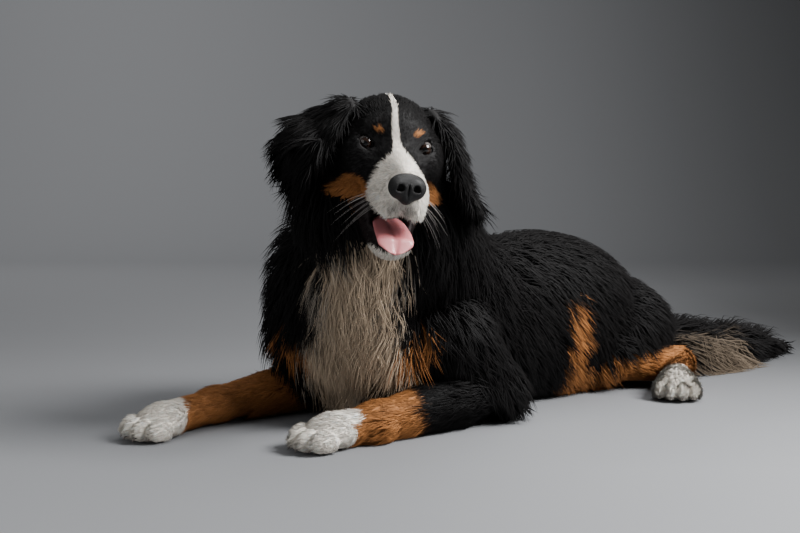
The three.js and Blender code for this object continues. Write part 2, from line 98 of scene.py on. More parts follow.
# The joints of the legs and the tail's spine, as in the solids
FORE = {
    "left": dict(shoulder=[95, -360, 150], elbow=[134, -292, 56], wrist=[120, -530, 31], paw=[110, -612, 27]),
    "right": dict(
        shoulder=[-118, -450, 145], elbow=[-150, -395, 56], wrist=[-158, -640, 31], paw=[-136, -752, 27]
    ),
}
HIND = {
    "left": dict(hip=[72, 182, 112], knee=[100, 80, 72], hock=[178, 225, 42], paw=[243, 120, 27]),
    "right": dict(hip=[-82, 182, 112], knee=[-140, 55, 72], hock=[-158, 250, 42], paw=[-224, 104, 27]),
}
TAIL = np.array([[22, 322, 56], [46, 440, 42], [78, 570, 34], [106, 680, 28], [120, 752, 22]], float)
TAIL_FLESH = [30, 22, 14, 9, 6]


# Distance fields on arrays of points
def ball(p, centre, radii):
    r = np.array([radii] * 3 if np.isscalar(radii) else radii, float)
    s = (p - np.array(centre, float)) / r
    k0 = np.linalg.norm(s, axis=-1)
    k1 = np.maximum(np.linalg.norm(s / r, axis=-1), 1e-9)
    return k0 * (k0 - 1) / k1


def cone(p, a, b, ra, rb):
    a, b = np.array(a, float), np.array(b, float)
    ab = b - a
    t = np.clip((p - a) @ ab / (ab @ ab), 0, 1)
    return np.linalg.norm(p - a - t[..., None] * ab, axis=-1) - blend(ra, rb, t)


def soft_min(a, b, k):
    h = np.maximum(k - np.abs(a - b), 0) / k
    return np.minimum(a, b) - h * h * k / 4


def soft_max(a, b, k):
    return -soft_min(-a, -b, k)


def soft_union(*pairs):
    total = pairs[0][0]
    for d, k in pairs[1:]:
        total = soft_min(total, d, k)
    return total


def torso(p):
    return soft_union(
        (ball(p, [0, -270, 150], [118, 175, 145]), 40),
        (ball(p, [0, -60, 146], [126, 230, 146]), 60),
        (ball(p, [0, 60, 136], [122, 190, 130]), 60),
        (ball(p, [0, 200, 92], [106, 135, 95]), 50),
    )


def neck(p):
    return soft_union(
        (cone(p, [0, -300, 215], [95, -480, 370], 100, 78), 50),
        (ball(p, [-84, -430, 205], [92, 96, 150]), 60),
        (ball(p, [65, -536, 388], [62, 62, 76]), 40),
    )


def bib(p):
    return soft_union(
        (cone(p, [88, -506, 330], [18, -470, 190], 58, 76), 40),
        (ball(p, [6, -420, 110], [86, 66, 105]), 50),
    )


def arm(side):
    leg = FORE[side]
    return lambda p: cone(p, leg["shoulder"], leg["elbow"], 64, 46)


def forearm(side):
    leg = FORE[side]
    return lambda p: soft_union(
        (cone(p, leg["elbow"], leg["wrist"], 44, 26), 25),
        (cone(p, leg["wrist"], leg["paw"], 26, 24), 20),
    )


def thigh(side):
    leg = HIND[side]
    middle = blend(np.array(leg["hip"], float), np.array(leg["knee"], float), 0.25)
    return lambda p: soft_union(
        (ball(p, middle, [66, 98, 84]), 40),
        (cone(p, leg["hip"], leg["knee"], 74, 50), 40),
    )


def shin(side):
    leg = HIND[side]
    return lambda p: cone(p, leg["knee"], leg["hock"], 48, 27)


def hind_foot(side):
    leg = HIND[side]
    return lambda p: cone(p, leg["hock"], leg["paw"], 29, 27)


def tail(p):
    bits = [(cone(p, TAIL[i], TAIL[i + 1], TAIL_FLESH[i], TAIL_FLESH[i + 1]), 20) for i in range(len(TAIL) - 1)]
    return soft_union(*bits)


def paw_frame(leg, before):
    yaw = math.atan2(leg["paw"][0] - leg[before][0], leg[before][1] - leg["paw"][1])
    return rotation("z", yaw), np.array([leg["paw"][0], leg["paw"][1], 0.0])


TOES = [(t * 20, -46 if abs(t) < 1 else -34) for t in (-1.5, -0.5, 0.5, 1.5)]


def paw(leg, before):
    turn, at = paw_frame(leg, before)

    def field(p):
        q = (p - at) @ turn
        d = ball(q, [0, -2, 24], [36, 44, 27])
        for x, y in TOES:
            d = soft_min(d, ball(q, [x, y, 18], [11.5, 24, 18]), 4)
        return d

    return field


MUZZLE_ASIDE = 4.0  # the muzzle points a little to the left of the head's middle


def skull(p):
    q = to_head(p)
    q[..., 0] -= MUZZLE_ASIDE * ramp(-q[..., 1], 20, 90)
    q[..., 0] = np.abs(q[..., 0])
    return soft_union(
        (ball(q, [0, 58, 8], [66, 78, 60]), 20),
        (ball(q, [46, 22, -20], [31, 50, 40]), 24),
        (ball(q, [0, -4, 18], [30, 26, 34]), 26),
        (ball(q, [27, 0, 22], [20, 17, 14]), 14),
        (cone(q, [0, -16, -36], [0, -78, -58], 37, 29), 24),
        (cone(q, [0, -34, -18], [0, -90, -36], 18, 14), 12),
        (ball(q, [16, -70, -82], [20, 30, 32]), 14),
        (ball(q, [23, -35, -65], [21, 41, 26]), 18),
        (ball(q, [0, 62, -45], [56, 58, 60]), 30),
        (ball(q, [58, 68, -44], [34, 42, 58]), 30),
    )


def jaw(p):
    q = to_head(p)
    q[..., 0] = np.abs(q[..., 0])
    return soft_union(
        (cone(q, [0, 16, -104], [2, -54, -134], 48, 24), 20),
        (ball(q, [0, -50, -138], [28, 30, 18]), 14),
    )


EARS = {
    "left": [
        ([62, 62, 46], [4, 34, -4], [8, 0, 12]),
        ([86, 66, 30], [6, 46, -2], [9, -2, 9]),
        ([106, 66, 4], [10, 50, 0], [9, -2, 3]),
        ([116, 62, -26], [12, 47, 0], [8, -3, 0]),
        ([130, 56, -58], [12, 34, 4], [6, -2, 1]),
        ([148, 52, -82], [6, 14, 3], [4, -1, 1]),
    ],
    "right": [
        ([-62, 62, 50], [-10, 32, -2], [-6, -2, 12]),
        ([-90, 62, 29], [-22, 42, 0], [-8, -4, 9]),
        ([-120, 56, 4], [-28, 38, 2], [-8, -6, 3]),
        ([-134, 48, -18], [-30, 36, 0], [-7, -6, 0]),
        ([-130, 40, -46], [-22, 26, 0], [-6, -5, -1]),
        ([-122, 36, -70], [-9, 12, 0], [-3, -3, 0]),
    ],
}


def ear(side):
    sections = [tuple(np.array(v, float) for v in s) for s in EARS[side]]

    def field(p):
        q = to_head(p)
        d = np.full(q.shape[:-1], 1e3)
        for (a, wa, na), (b, wb, nb) in zip(sections, sections[1:]):
            ab = b - a
            t = np.clip((q - a) @ ab / (ab @ ab), 0, 1)[..., None]
            w, n = blend(wa, wb, t), blend(na, nb, t)
            half, thick = np.linalg.norm(w, axis=-1), np.linalg.norm(n, axis=-1) * 0.62
            off = q - a - t * ab
            u = np.sum(off * unit(w), axis=-1) / half
            v = (np.sum(off * unit(n), axis=-1) - 5 * (1 - np.clip(u * u, 0, 1))) / thick
            c = np.sum(off * unit(ab), axis=-1) / 9
            k0 = np.sqrt(u * u + v * v + c * c)
            k1 = np.maximum(np.sqrt((u / half) ** 2 + (v / thick) ** 2 + (c / 9) ** 2), 1e-9)
            d = np.minimum(d, k0 * (k0 - 1) / k1)
        return d

    return field


# What is cut from the flesh: the mouth between the jaws, and the opening of each eye
MOUTH_TURN = rotation("x", math.radians(24))


def mouth_cut(p):
    q = to_head(p)
    roof = ball(q, [0, -52, -109], [31, 66, 15])
    pivot = np.array([0, -46, -74.0])
    bowl = ball((q - pivot) @ MOUTH_TURN, [0, 0, -10], [45, 76, 31])
    lip_height = -66 + 0.46 * np.minimum(q[..., 1] + 20, 0)
    return np.minimum(roof, np.maximum(bowl, q[..., 2] - lip_height))


PARTS = {
    "torso": (torso, 40),
    "neck": (neck, 50),
    "bib": (bib, 40),
    "arm_left": (arm("left"), 30),
    "arm_right": (arm("right"), 30),
    "forearm_left": (forearm("left"), 14),
    "forearm_right": (forearm("right"), 14),
    "paw_left": (paw(FORE["left"], "wrist"), 8),
    "paw_right": (paw(FORE["right"], "wrist"), 8),
    "thigh_left": (thigh("left"), 26),
    "thigh_right": (thigh("right"), 26),
    "shin_left": (shin("left"), 12),
    "shin_right": (shin("right"), 12),
    "foot_left": (hind_foot("left"), 14),
    "foot_right": (hind_foot("right"), 14),
    "hind_paw_left": (paw(HIND["left"], "hock"), 8),
    "hind_paw_right": (paw(HIND["right"], "hock"), 8),
    "tail": (tail, 20),
    "skull": (skull, 20),
    "jaw": (jaw, 10),
    "ear_left": (ear("left"), 6),
    "ear_right": (ear("right"), 6),
}
NAMES = list(PARTS)


def eye_shape(q, s):
    """Points as seen from the middle of the left eye (s = 1) or the right eye (s = -1)."""
    return q - EYE_AT * np.array([s, 1, 1])


def flesh(p):
    total = None
    for field, k in PARTS.values():
        d = field(p)
        total = d if total is None else soft_min(total, d, k)
    q = to_head(p)
    if (np.linalg.norm(q, axis=-1) < 190).any():
        total = soft_max(total, -mouth_cut(p), 3)
        for s in (1, -1):
            e = eye_shape(q, s)
            lids = ball(e, [0, 0, 0], [15, 14.2, 14])
            total = soft_min(total, lids, 4)
            slit = np.sqrt((e[..., 0] / 10.8) ** 2 + (e[..., 2] / (8.2 - 0.25 * np.abs(e[..., 0]))) ** 2)
            opening = np.maximum((slit - 1) * 5.5, e[..., 1] + 1)
            total = soft_max(total, -opening, 1.6)
            total = np.maximum(total, -(np.linalg.norm(e, axis=-1) - EYE_RADIUS + 0.3))
    return np.maximum(total, SOLE - p[..., 2])


FAR = 1e3


# A closed surface drawn where a field is zero. The field is only worked out in the blocks of cells near it.
def surface_net(field, low, high, cell, coarse=6):
    low = np.array(low, float)
    size = np.ceil((np.array(high, float) - low) / (cell * coarse)).astype(int) * coarse + 1
    values = np.full(size, FAR, np.float32)
    starts = [np.arange(0, k - 1, coarse) for k in size]
    blocks = np.stack(np.meshgrid(*starts, indexing="ij"), -1).reshape(-1, 3)
    middle = low + (blocks + coarse / 2) * cell
    reach = coarse * cell * 0.9 * 1.3
    d = np.concatenate([field(m) for m in np.array_split(middle, max(1, len(middle) // 200000))])
    for i, j, k in blocks[d < -reach]:
        values[i:i + coarse + 1, j:j + coarse + 1, k:k + coarse + 1] = -FAR
    step = np.stack(np.meshgrid(*[np.arange(coarse + 1)] * 3, indexing="ij"), -1).reshape(-1, 3)
    close = blocks[np.abs(d) <= reach]
    for chunk in np.array_split(close, max(1, len(close) // 600)):
        i = (chunk[:, None, :] + step[None]).reshape(-1, 3)
        values[i[:, 0], i[:, 1], i[:, 2]] = field(low + i * cell)
    v = values
    neg = v < 0
    corner = [(a, b, c) for a in (0, 1) for b in (0, 1) for c in (0, 1)]
    m = tuple(k - 1 for k in v.shape)

    def at(a, o):
        return a[o[0]:o[0] + m[0], o[1]:o[1] + m[1], o[2]:o[2] + m[2]]

    count = sum(at(neg, o).astype(np.int8) for o in corner)
    active = (count > 0) & (count < 8)
    cells = np.argwhere(active)
    index = np.full(active.shape, -1)
    index[tuple(cells.T)] = np.arange(len(cells))
    total = np.zeros((len(cells), 3))
    weight = np.zeros(len(cells))
    for o in corner:
        for axis in range(3):
            if o[axis]:
                continue
            e = list(o)
            e[axis] = 1
            a = v[tuple((cells + o).T)]
            b = v[tuple((cells + e).T)]
            cut = (a < 0) != (b < 0)
            t = np.where(cut, a / np.where(cut, a - b, 1), 0)
            place = cells + np.array(o, float)
            place[:, axis] += t
            total += place * cut[:, None]
            weight += cut
    points = low + total / weight[:, None] * cell
    quads = []
    for axis in range(3):
        u, w = (axis + 1) % 3, (axis + 2) % 3
        end = np.zeros(3, int)
        end[axis] = 1
        lowest = [0, 0, 0]
        lowest[u] = lowest[w] = 1
        here = tuple(slice(first, k - 1) for first, k in zip(lowest, v.shape))
        there = tuple(slice(part.start + e, part.stop + e) for part, e in zip(here, end))
        du, dw = np.eye(3, dtype=int)[u], np.eye(3, dtype=int)[w]
        for flip, where in ((False, neg[here] & ~neg[there]), (True, ~neg[here] & neg[there])):
            g = np.argwhere(where) + lowest
            q = np.stack([index[tuple((g - back).T)] for back in (du + dw, dw, 0 * du, du)], 1)
            quads.append(q[:, ::-1] if flip else q)
    return points, np.concatenate(quads)


def mesh_object(name, points, faces, smooth=True):
    mesh = bpy.data.meshes.new(name)
    faces = np.asarray(faces)
    mesh.vertices.add(len(points))
    mesh.vertices.foreach_set("co", np.asarray(points, np.float32).ravel())
    mesh.loops.add(faces.size)
    mesh.loops.foreach_set("vertex_index", faces.astype(np.int32).ravel())
    mesh.polygons.add(len(faces))
    mesh.polygons.foreach_set("loop_start", np.arange(0, faces.size, faces.shape[1], dtype=np.int32))
    mesh.update(calc_edges=True)
    if smooth:
        mesh.polygons.foreach_set("use_smooth", np.ones(len(faces), bool))
    o = bpy.data.objects.new(name, mesh)
    bpy.context.scene.collection.objects.link(o)
    return o


def tube(rings, around, base=0):
    """Faces between rings of points."""
    faces = []
    for i in range(base, base + (rings - 1) * around, around):
        for j in range(around):
            n = (j + 1) % around
            faces.append([i + j, i + n, i + around + n, i + around + j])
    return faces


def gradient(field, p, e=0.8):
    g = np.stack([field(p + d) - field(p - d) for d in np.eye(3) * e], -1)
    return unit(g)


def vertices(o):
    v = np.empty(len(o.data.vertices) * 3, np.float32)
    o.data.vertices.foreach_get("co", v)
    return v.reshape(-1, 3).astype(float)


def settle(o, field, where, rounds=3):
    """Moves the chosen vertices onto the surface of the field."""
    v = (vertices(o) + SHIFT) / MM
    p = v[where]
    for _ in range(rounds):
        d = field(p)
        p = p - gradient(field, p) * np.clip(d, -3, 3)[:, None]
    v[where] = p
    o.data.vertices.foreach_set("co", metres(v).astype(np.float32).ravel())
    o.data.update()


def refine(o, chosen):
    """Cuts every face that has a chosen vertex into four."""
    bm = bmesh.new()
    bm.from_mesh(o.data)
    bm.verts.ensure_lookup_table()
    edges = [e for e in bm.edges if chosen[e.verts[0].index] and chosen[e.verts[1].index]]
    bmesh.ops.subdivide_edges(bm, edges=edges, cuts=1, use_grid_fill=True)
    bmesh.ops.triangulate(bm, faces=[f for f in bm.faces if len(f.verts) > 4])
    bm.to_mesh(o.data)
    bm.free()
    o.data.polygons.foreach_set("use_smooth", np.ones(len(o.data.polygons), bool))


# Where the coat is white, rust or black, in the dog's frame
def markings(p):
    """Colour of the coat at points in millimetres, as linear RGB, with painted shade on the chest, under the
    nose and in the mouth, and how rusty it is.
    """
    q = to_head(p)
    x, y, z = q[:, 0], q[:, 1], q[:, 2]
    px, py, pz = p[:, 0], p[:, 1], p[:, 2]
    wob = 3 * np.sin(0.09 * px + 0.05 * pz) + 2.5 * np.sin(0.13 * py - 0.11 * pz)
    fields = {n: f(p) for n, (f, _) in PARTS.items()}
    head_d = np.minimum(fields["skull"], fields["jaw"])
    ear_d = np.minimum(fields["ear_left"], fields["ear_right"])
    others = np.min([fields[n] for n in NAMES[:18]], axis=0)
    on_ear = (ear_d < head_d) & (ear_d < others)
    on_head = (head_d < others) & ~on_ear
    white = np.zeros(len(p))
    rust = np.zeros(len(p))
    # The blaze runs from the crown to the muzzle and widens there
    blaze = np.interp(z, [-60, -44, -34, -20, -7, 6, 30, 60], [56, 50, 34, 21, 9, 4.8, 4.2, 3.2])
    front = ramp(-y, -62, -50)
    blaze_at = np.interp(z, [-90, -30, -5, 14, 36, 52, 64], [3, 0, -1.5, -5, -8, -7, -3])
    white_face = ramp(blaze - np.abs(x - blaze_at), -1, 1) * front
    white_face *= np.where(z < -30, ramp(-y, 46, 58), 1)
    on_jaw = fields["jaw"] < fields["skull"]
    chin = ramp(-y, 26, 40) * np.where(on_jaw, ramp(-z, 132, 140), ramp(-z, 88, 100))
    white = np.where(on_head, np.maximum(white_face, chin), white)
    # Rust spots over the eyes and on the cheeks
    for s in (1, -1):
        spot = np.linalg.norm((q - [s * 27, -8, 21]) / [8.5, 24, 6.2], axis=-1)
        rust = np.where(on_head, np.maximum(rust, ramp(1 - spot, -0.1, 0.12)), rust)
    cheek = np.linalg.norm((np.stack([np.abs(x), y, z], -1) - [60, -14, -80]) / [43, 58, 34], axis=-1)
    cheek_rust = ramp(1 - cheek + 0.01 * wob, -0.05, 0.1) * ramp(z, -120, -110)
    rust = np.where(on_head, np.maximum(rust, cheek_rust), rust)
    # The white of the throat and chest, on the side that faces forwards. across runs along the chest, and
    # behind is how far back a point lies from its front.
    across = 0.695 * px + 0.719 * py + 262.8
    behind = 0.695 * py - 0.719 * px - np.interp(pz, [100, 205, 310], [-300, -348, -396])
    middle = np.interp(pz, [110, 160, 240, 325], [-88, -66, -60, -53])
    half = np.interp(pz, [60, 110, 150, 190, 225, 250, 290, 325, 350], [14, 50, 82, 66, 46, 48, 58, 67, 60])
    reach = np.interp(pz, [150, 210], [110, 70])
    chest = ramp(half - np.abs(across - middle) + 1.6 * wob, -5, 5) * ramp(345 - pz, 0, 12)
    chest = chest * ramp(reach - behind, -8, 8)
    legs = ("forearm_left", "forearm_right", "paw_left", "paw_right")
    body = ~on_head & ~on_ear & (np.min([fields[n] for n in legs], axis=0) > 12)
    white = np.where(body, np.maximum(white, chest), white)
    for place, height, size in ((-156, 174, 27), (28, 164, 23)):
        patch = np.hypot((across - place) / size, (pz - height) / 17)
        here = body & (behind < 150)
        rust = np.where(here, np.maximum(rust, ramp(1 - patch + 0.02 * wob, -0.08, 0.15)), rust)
    # The legs
    for side in ("left", "right"):
        f, h = FORE[side], HIND[side]
        a, b = np.array(f["elbow"], float), np.array(f["paw"], float)
        along = (p - a) @ (b - a) / ((b - a) @ (b - a))
        on = np.minimum(fields[f"forearm_{side}"], fields[f"paw_{side}"]) < 14
        start = 0.47 if side == "left" else 0.18
        reddish = ramp(along + 0.006 * wob - 0.0012 * (pz - 30), start - 0.04, start + 0.04)
        rust = np.where(on, np.maximum(rust, reddish), rust)
        socks = ramp(along + 0.006 * wob + 0.0016 * (pz - 30), 0.89, 0.92)
        white = np.where(on, np.maximum(white, socks), white)
        a, b = np.array(h["hock"], float), np.array(h["paw"], float)
        along = (p - a) @ (b - a) / ((b - a) @ (b - a))
        on = np.minimum(fields[f"foot_{side}"], fields[f"hind_paw_{side}"]) < 12
        rust = np.where(on, 1.0, rust)
        white = np.where(on, np.maximum(white, ramp(along + 0.01 * wob, 0.66, 0.76)), white)
        low_shin = (fields[f"shin_{side}"] < 20) & (pz < 84)
        rust = np.where(low_shin, np.maximum(rust, ramp(84 - pz, 0, 14)), rust)
        out = px if side == "left" else -px
        strip = np.abs(across - 302 + 0.10 * (pz - 80)) if side == "left" else np.abs(py + 12)
        wide = np.interp(pz, [20, 60, 90, 190], [52, 36, 18, 12])
        stripe = ramp(wide - strip + 1.2 * wob, -4, 6) * ramp(205 - pz, 0, 16) * (out > 50) * (py > -110)
        rust = np.maximum(rust, stripe * body)
    # Fawn low on the left of the tail, where its fringe starts
    spine_x = np.interp(py, TAIL[:, 1], TAIL[:, 0])
    spine_z = np.interp(py, TAIL[:, 1], TAIL[:, 2])
    fawn = ramp(px - spine_x, 0, 8) * ramp(spine_z + 16 - pz, 0, 8) * body * (py > 330) * ramp(535 - py, 0, 20)
    black_rgb = np.array([0.0058, 0.0052, 0.0052])
    rust_rgb = np.array([0.38, 0.155, 0.052])
    white_rgb = np.array([0.95, 0.87, 0.76])
    cream_and_shade_rgb = np.array([0.62, 0.48, 0.34])
    fawn_rgb = np.array([0.12, 0.092, 0.066])
    colour = black_rgb + (rust_rgb - black_rgb) * rust[:, None]
    colour = colour + (fawn_rgb - colour) * fawn[:, None]
    # On the chest the white is painted cream and darker: partly the coat's own cream, partly painted shade
    # under the head
    pale = white_rgb + (cream_and_shade_rgb - white_rgb) * (body * chest)[:, None]
    colour = colour + (pale - colour) * white[:, None]
    # Painted shade under the nose: the white there is painted grey, broken up into flecks
    under_nose = np.hypot(x / 24, (z + 84) / 15) + 0.3 * ramp(y, -96, -80)
    shade_mottle = 0.45 + 0.35 * np.sin(1.9 * x) * np.sin(1.7 * z)
    grey = ramp(1.15 - under_nose, 0, 0.5) * (on_head & (y < -70)) * shade_mottle
    colour = colour + (np.array([0.07, 0.062, 0.06]) - colour) * np.clip(grey, 0, 1)[:, None]
    # Bare dark skin: lips and the rims of the eyes. The inside of the mouth is painted as dark as the lips,
    # partly its dark skin and partly painted shade in the mouth
    inside = mouth_cut(p)
    lips_and_mouth_shade = ramp(22 - inside, 0, 3) * (on_head & (y < 34) & (z < -80) & on_jaw)
    # Inside the mouth: dark skin with painted shade
    lips_and_mouth_shade = np.maximum(lips_and_mouth_shade, ramp(4 - inside, 0, 2) * (on_head & (y < 30)))
    colour = colour + (np.array([0.018, 0.012, 0.012]) - colour) * lips_and_mouth_shade[:, None]
    for s in (1, -1):
        e = eye_shape(q, s)
        rim = np.sqrt((e[:, 0] / 12.2) ** 2 + (e[:, 2] / 8.6) ** 2)
        dark = ramp(1.05 - rim, 0, 0.16) * (np.abs(e[:, 1]) < 22)
        colour = colour + (np.array([0.006, 0.005, 0.005]) - colour) * dark[:, None]
    return colour, rust


def paint(o, colours):
    attribute = o.data.color_attributes.new("coat", "FLOAT_COLOR", "POINT")
    rgba = np.ones((len(colours), 4), np.float32)
    rgba[:, :3] = colours
    attribute.data.foreach_set("color", rgba.ravel())


def material(name, base=(0.5, 0.5, 0.5), rough=0.6, spec=0.5, coat=0.0, sss=0.0):
    m = bpy.data.materials.new(name)
    m.use_nodes = True
    shader = m.node_tree.nodes["Principled BSDF"]
    shader.inputs["Base Color"].default_value = (*base, 1)
    shader.inputs["Roughness"].default_value = rough
    shader.inputs["Specular IOR Level"].default_value = spec
    shader.inputs["Coat Weight"].default_value = coat
    shader.inputs["Coat Roughness"].default_value = 0.06
    shader.inputs["Subsurface Weight"].default_value = sss
    shader.inputs["Subsurface Radius"].default_value = (0.004, 0.0015, 0.001)
    return m, m.node_tree, shader


def painted(tree):
    """The colours that paint() gave the mesh."""
    node = tree.nodes.new("ShaderNodeAttribute")
    node.attribute_name = "coat"
    return node.outputs["Color"]


def roughen(tree, shader, kind, scale, height, strength, distance):
    """Bumps of one kind of texture; the height is the texture's output that they follow."""
    texture = tree.nodes.new(kind)
    texture.inputs["Scale"].default_value = scale
    bump = tree.nodes.new("ShaderNodeBump")
    bump.inputs["Strength"].default_value = strength
    bump.inputs["Distance"].default_value = distance
    tree.links.new(texture.outputs[height], bump.inputs["Height"])
    tree.links.new(bump.outputs["Normal"], shader.inputs["Normal"])
    return texture


def coat_material(name, rough, spec, bump):
    m, tree, shader = material(name, rough=rough, spec=spec)
    if bump:
        noise = roughen(tree, shader, "ShaderNodeTexNoise", 420, "Fac", bump, 0.001)
    else:
        noise = tree.nodes.new("ShaderNodeTexNoise")
        noise.inputs["Scale"].default_value = 420
    noise.inputs["Detail"].default_value = 4
    mix = tree.nodes.new("ShaderNodeMix")
    mix.data_type = "RGBA"
    mix.blend_type = "MULTIPLY"
    mix.inputs["Factor"].default_value = 0.3
    tree.links.new(painted(tree), mix.inputs["A"])
    tree.links.new(noise.outputs["Color"], mix.inputs["B"])
    tree.links.new(mix.outputs["Result"], shader.inputs["Base Color"])
    return m


rng = np.random.default_rng(7)
skin_material = coat_material("skin", 0.75, 0.25, 0.5)
fur_material = coat_material("fur", 0.55, 0.06, 0)


def build_skin():
    points, quads = surface_net(flesh, [-290, -860, -12], [320, 800, 560], 7.0)
    o = mesh_object("skin", metres(points), quads)
    v = (vertices(o) + SHIFT) / MM
    head = np.linalg.norm(to_head(v), axis=-1) < 230
    feet = np.zeros(len(v), bool)
    for leg in (*FORE.values(), *HIND.values()):
        feet |= np.linalg.norm(v - leg["paw"], axis=-1) < 95
    refine(o, head | feet)
    v = (vertices(o) + SHIFT) / MM
    q = to_head(v)
    face = (np.abs(q[:, 0]) < 76) & (q[:, 1] < 26) & (q[:, 2] > -165) & (q[:, 2] < 60) & (q[:, 1] > -130)
    refine(o, face)
    v = (vertices(o) + SHIFT) / MM
    q = to_head(v)
    eyes = np.minimum(np.linalg.norm(eye_shape(q, 1), axis=-1), np.linalg.norm(eye_shape(q, -1), axis=-1)) < 27
    refine(o, eyes)
    v = (vertices(o) + SHIFT) / MM
    near = (np.linalg.norm(to_head(v), axis=-1) < 240)
    for leg in (*FORE.values(), *HIND.values()):
        near |= np.linalg.norm(v - leg["paw"], axis=-1) < 100
    settle(o, flesh, near)
    v = (vertices(o) + SHIFT) / MM
    paint(o, markings(v)[0])
    o.data.materials.append(skin_material)
    return o


def unwrap(o):
    """One patch for each lie of the surface, so that the map is the skin's own shape laid flat."""
    bpy.context.view_layer.objects.active = o
    o.select_set(True)
    o.data.uv_layers.new(name="OFBake")
    bpy.ops.object.mode_set(mode="EDIT")
    bpy.ops.mesh.select_all(action="SELECT")
    bpy.ops.uv.smart_project(angle_limit=math.radians(75), island_margin=0.001, rotate_method="AXIS_ALIGNED")
    bpy.ops.object.mode_set(mode="OBJECT")
    o.select_set(False)


# The coat, part by part. depth is how far the tips stand off the skin and length how long a tuft is, in
# millimetres; share is tufts for each square centimetre, and bends how many straight stretches a tuft has.
COATS = {
    "torso": dict(depth=24, length=66, width=3.3, share=6.0, wave=5, bends=2),
    "neck": dict(depth=32, length=82, width=3.2, share=6.6, wave=8, bends=3),
    "bib": dict(depth=26, length=84, width=2.2, share=14.2, wave=9, bends=3),
    "arm": dict(depth=20, length=56, width=3.2, share=8.5, wave=6, bends=2),
    "forearm": dict(depth=4, length=17, width=2.1, share=24.0, wave=0, bends=1),
    "paw": dict(depth=3.5, length=11, width=2.0, share=34.0, wave=0, bends=1),
    "thigh": dict(depth=20, length=58, width=3.2, share=8.0, wave=5, bends=2),
    "shin": dict(depth=7, length=24, width=2.6, share=14.0, wave=1, bends=2),
    "foot": dict(depth=5, length=16, width=2.2, share=22.0, wave=0, bends=1),
    "hind_paw": dict(depth=5.5, length=14, width=2.0, share=34.0, wave=0, bends=1),
    "tail": dict(depth=32, length=96, width=3.8, share=11.0, wave=7, bends=3),
    "skull": dict(depth=5, length=14, width=1.9, share=26.0, wave=0.5, bends=1),
    "jaw": dict(depth=4, length=12, width=2.0, share=26.0, wave=0.5, bends=1),
    "ear": dict(depth=6, length=40, width=2.2, share=14.0, wave=4, bends=3),
}
KIND = [n.replace("_left", "").replace("_right", "") for n in NAMES]


def lie_of(p, part):
    """Which way the coat lies at points, before it is laid along the skin."""
    out = np.zeros_like(p)
    q = to_head(p)
    for i, name in enumerate(NAMES):
        m = part == i
        if not m.any():
            continue
        kind, side = KIND[i], "left" if "left" in name else "right"
        s = 1 if side == "left" else -1
        a, h = p[m], q[m]
        x, one = a[:, 0], np.ones(len(a))
        fore, hind = ({k: np.array(v, float) for k, v in legs[side].items()} for legs in (FORE, HIND))
        if kind == "torso":
            d = np.stack([0.0022 * x, one, -0.2 - 0.75 * np.clip(np.abs(x) / 90, 0, 1)], -1)
        elif kind == "neck":
            d = np.stack([0.0016 * (x - 40), 0.38 * one, -one], -1)
        elif kind == "bib":
            d = np.stack([-0.22 + 0.0016 * x, -0.02 * one, -one], -1)
        elif kind == "arm":
            d = np.array([0.12 * s, 0.5, -0.9]) * one[:, None]
        elif kind in ("forearm", "paw"):
            d = (fore["paw"] - fore["elbow"]) * [1, 1, 1.4] * one[:, None]
        elif kind == "thigh":
            d = np.array([0.15 * s, 0.62, -0.8]) * one[:, None]
        elif kind == "shin":
            d = (hind["hock"] - hind["knee"]) * one[:, None]
        elif kind in ("foot", "hind_paw"):
            d = (hind["paw"] - hind["hock"]) * one[:, None]
        elif kind == "tail":
            t = np.argmin(np.linalg.norm(a[:, None] - TAIL[None, :-1], axis=-1), axis=1)
            axis = unit(TAIL[t + 1] - TAIL[t])
            d = axis + 0.35 * unit((a - TAIL[t]) - np.sum((a - TAIL[t]) * axis, -1, keepdims=True) * axis)
            d[:, 2] -= 0.25
        elif kind == "ear":
            d = np.stack([s * (0.08 + 0.003 * np.maximum(0, 40 - h[:, 2])), 0.35 * one, -one], -1) @ HEAD_TURN.T
        else:
            d = (h - np.array([0, -120, -40.0])) * np.array([0.9, 1, 0.9])
            d[:, 2] = np.where(h[:, 2] < -20, d[:, 2] - 30, d[:, 2] + 6)
            d[:, 2] = np.where(np.abs(h[:, 0]) > 45, -60, d[:, 2])
            d = d @ HEAD_TURN.T
        out[m] = unit(d)
    return out


def coat_value(part, key):
    return np.array([COATS[k][key] for k in KIND], float)[part]


def bare(p):
    """Where no hair grows: in the mouth, behind the nose, on the rims of the eyes and against the floor."""
    q = to_head(p)
    hairless = (mouth_cut(p) < 4) & (np.abs(q[:, 1] + 40) < 90)
    hairless |= np.linalg.norm((q - [0, -104, -48]) / [26, 18, 20], axis=-1) < 1
    for s in (1, -1):
        e = eye_shape(q, s)
        hairless |= (np.sqrt((e[:, 0] / 12.5) ** 2 + (e[:, 2] / 9) ** 2) < 1) & (e[:, 1] < 14)
    return hairless | (p[:, 2] < 2 * SOLE)


